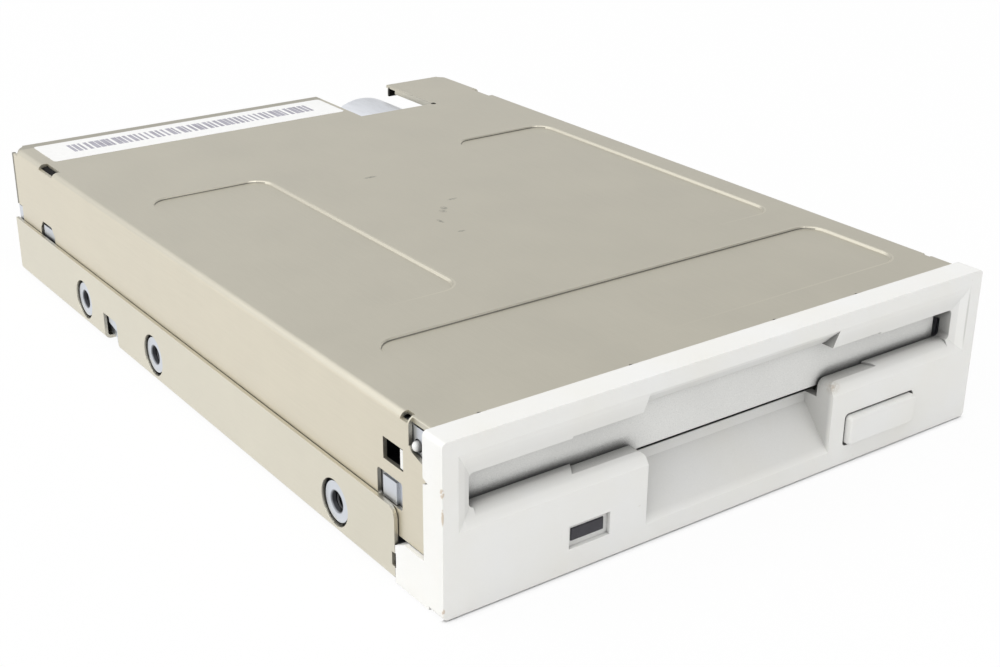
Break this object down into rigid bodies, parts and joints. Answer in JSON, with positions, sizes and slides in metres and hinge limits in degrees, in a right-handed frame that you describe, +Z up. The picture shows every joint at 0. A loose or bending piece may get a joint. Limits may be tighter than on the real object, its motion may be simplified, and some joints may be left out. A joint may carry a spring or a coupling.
{
  "type": "floppy disk drive",
  "caption": "Slim bay-mounted floppy disk drive with a metal case, a moulded bezel with hinged slot door, finger scoop, eject button and lamp, and a disk carrier and head carriage inside.",
  "frame": {"origin": "middle of the box's bottom face, on the resting plane", "axes": "+X to the right seen from the bezel, +Y to the rear, +Z up"},
  "size_m": [0.1016, 0.1512, 0.0254],
  "materials": {
    "cover_steel": "plated sheet, satin, warm champagne tone",
    "shield_steel": "plated sheet, satin, warm champagne tone",
    "cast_metal": "die-cast, satin",
    "bezel_plastic": "finely grained moulding, off-white",
    "button_plastic": "finely grained moulding, off-white",
    "door_plastic": "speckled grey moulding",
    "window_plastic": "smoked, polished",
    "lamp_plastic": "clear tinted",
    "slide_steel": "plated sheet",
    "carrier_steel": "plated sheet",
    "lever_steel": "plated sheet",
    "can_steel": "drawn can, satin",
    "board_laminate": "green solder mask",
    "motor_laminate": "blue solder mask on steel",
    "black_plastic": "moulded",
    "white_plastic": "moulded",
    "pin_metal": "plated",
    "bearing_brass": "sintered",
    "coil_copper": "enamelled wire",
    "core_iron": "stacked sheet",
    "magnet_ferrite": "pressed",
    "rotor_steel": "plated",
    "hub_metal": "turned",
    "carriage_plastic": "glass-filled moulding",
    "arm_metal": "die-cast",
    "head_ceramic": "polished ceramic",
    "bright_steel": "bright",
    "spring_steel": "drawn wire"
  },
  "bodies": {
    "frame": {"bottom_shield": "shield_steel", "top_cover": "cover_steel", "chassis": "cast_metal", "left_rail": "cast_metal", "right_rail": "cast_metal", "motor_bracket": "cast_metal", "spring_posts": "cast_metal", "bezel": "bezel_plastic", "slide_springs": "spring_steel", "led_window": "window_plastic", "led": "lamp_plastic", "front_board": "board_laminate", "write_protect_switch": "black_plastic", "density_switch": "black_plastic", "disk_switch": "black_plastic", "motor_board": "motor_laminate", "spindle_bearing": "bearing_brass", "stator_core": "core_iron", "stator_coils": "coil_copper", "main_board": "board_laminate", "board_chips": "black_plastic", "data_connector": "black_plastic", "data_pins": "pin_metal", "power_connector": "white_plastic", "power_pins": "pin_metal", "stepper_motor": "can_steel", "screw_bearing": "bright_steel", "guide_rod": "bright_steel", "rod_clamps": "bright_steel", "track_sensor": "black_plastic", "board_screws": "bright_steel", "motor_screws": "bright_steel"},
    "door": {"door_flap": "door_plastic", "door_spring": "spring_steel"},
    "slide": {"slide_plate": "slide_steel", "eject_button": "button_plastic"},
    "carrier": {"disk_carrier": "carrier_steel", "carrier_pins": "bright_steel", "lever_pin": "bright_steel", "lever_spring": "spring_steel"},
    "lever": {"shutter_lever": "lever_steel"},
    "carriage": {"head_carriage": "carriage_plastic", "lower_head": "head_ceramic", "arm_pin": "bright_steel", "arm_spring": "spring_steel"},
    "arm": {"upper_arm": "arm_metal", "upper_head": "head_ceramic"},
    "screw": {"lead_screw": "bright_steel"},
    "spindle": {"spindle_shaft": "bright_steel", "spindle_rotor": "rotor_steel", "rotor_magnet": "magnet_ferrite", "spindle_hub": "hub_metal", "drive_pin": "bright_steel"},
    "write_protect": {"write_protect_plunger": "white_plastic"},
    "density": {"density_plunger": "white_plastic"},
    "disk_present": {"disk_plunger": "white_plastic"}
  },
  "joints": [
    {"name": "door_swing", "type": "hinge", "parent": "frame", "child": "door", "pos_m": [0, -0.0694, 0.0216], "axis": [1, 0, 0], "range_deg": [0, 85], "stiffness_Nm_per_rad": 0.001, "springref_deg": -17.19},
    {"name": "eject_slide", "type": "slide", "parent": "frame", "child": "slide", "axis": [0, -1, 0], "range_m": [0, 0.006], "deforming": ["slide_springs"]},
    {"name": "carrier_drop", "type": "slide", "parent": "frame", "child": "carrier", "axis": [0, 0, -1], "range_m": [0, 0.0022]},
    {"name": "lever_swing", "type": "hinge", "parent": "carrier", "child": "lever", "pos_m": [-0.034, -0.0084, 0.0198], "axis": [0, 0, 1], "range_deg": [0, 38], "stiffness_Nm_per_rad": 0.004, "springref_deg": -17.19},
    {"name": "carriage_step", "type": "slide", "parent": "frame", "child": "carriage", "axis": [0, -1, 0], "range_m": [0, 0.0148]},
    {"name": "screw_turn", "type": "hinge", "parent": "frame", "child": "screw", "pos_m": [0.0265, 0.0436, 0.0126], "axis": [0, 1, 0], "range_deg": [0, 1430]},
    {"name": "arm_swing", "type": "hinge", "parent": "carriage", "child": "arm", "pos_m": [0, 0.0501, 0.0188], "axis": [1, 0, 0], "range_deg": [0, 9.3]},
    {"name": "spindle_spin", "type": "hinge", "parent": "frame", "child": "spindle", "pos_m": [0, -0.0164, 0.009], "axis": [0, 0, 1], "continuous": true},
    {"name": "write_protect_press", "type": "slide", "parent": "frame", "child": "write_protect", "axis": [0, 0, -1], "range_m": [0, 0.001], "stiffness_N_per_m": 40, "springref_m": -0.001},
    {"name": "density_press", "type": "slide", "parent": "frame", "child": "density", "axis": [0, 0, -1], "range_m": [0, 0.001], "stiffness_N_per_m": 40, "springref_m": -0.001},
    {"name": "disk_present_press", "type": "slide", "parent": "frame", "child": "disk_present", "axis": [0, 0, -1], "range_m": [0, 0.001], "stiffness_N_per_m": 40, "springref_m": -0.001}
  ],
  "couplings": [
    {"joint": "carrier_drop", "follows": "eject_slide", "ratio": 0.36666},
    {"joint": "arm_swing", "follows": "eject_slide", "rad_per_m": 26.76},
    {"joint": "screw_turn", "follows": "carriage_step", "rad_per_m": 1675.5}
  ]
}
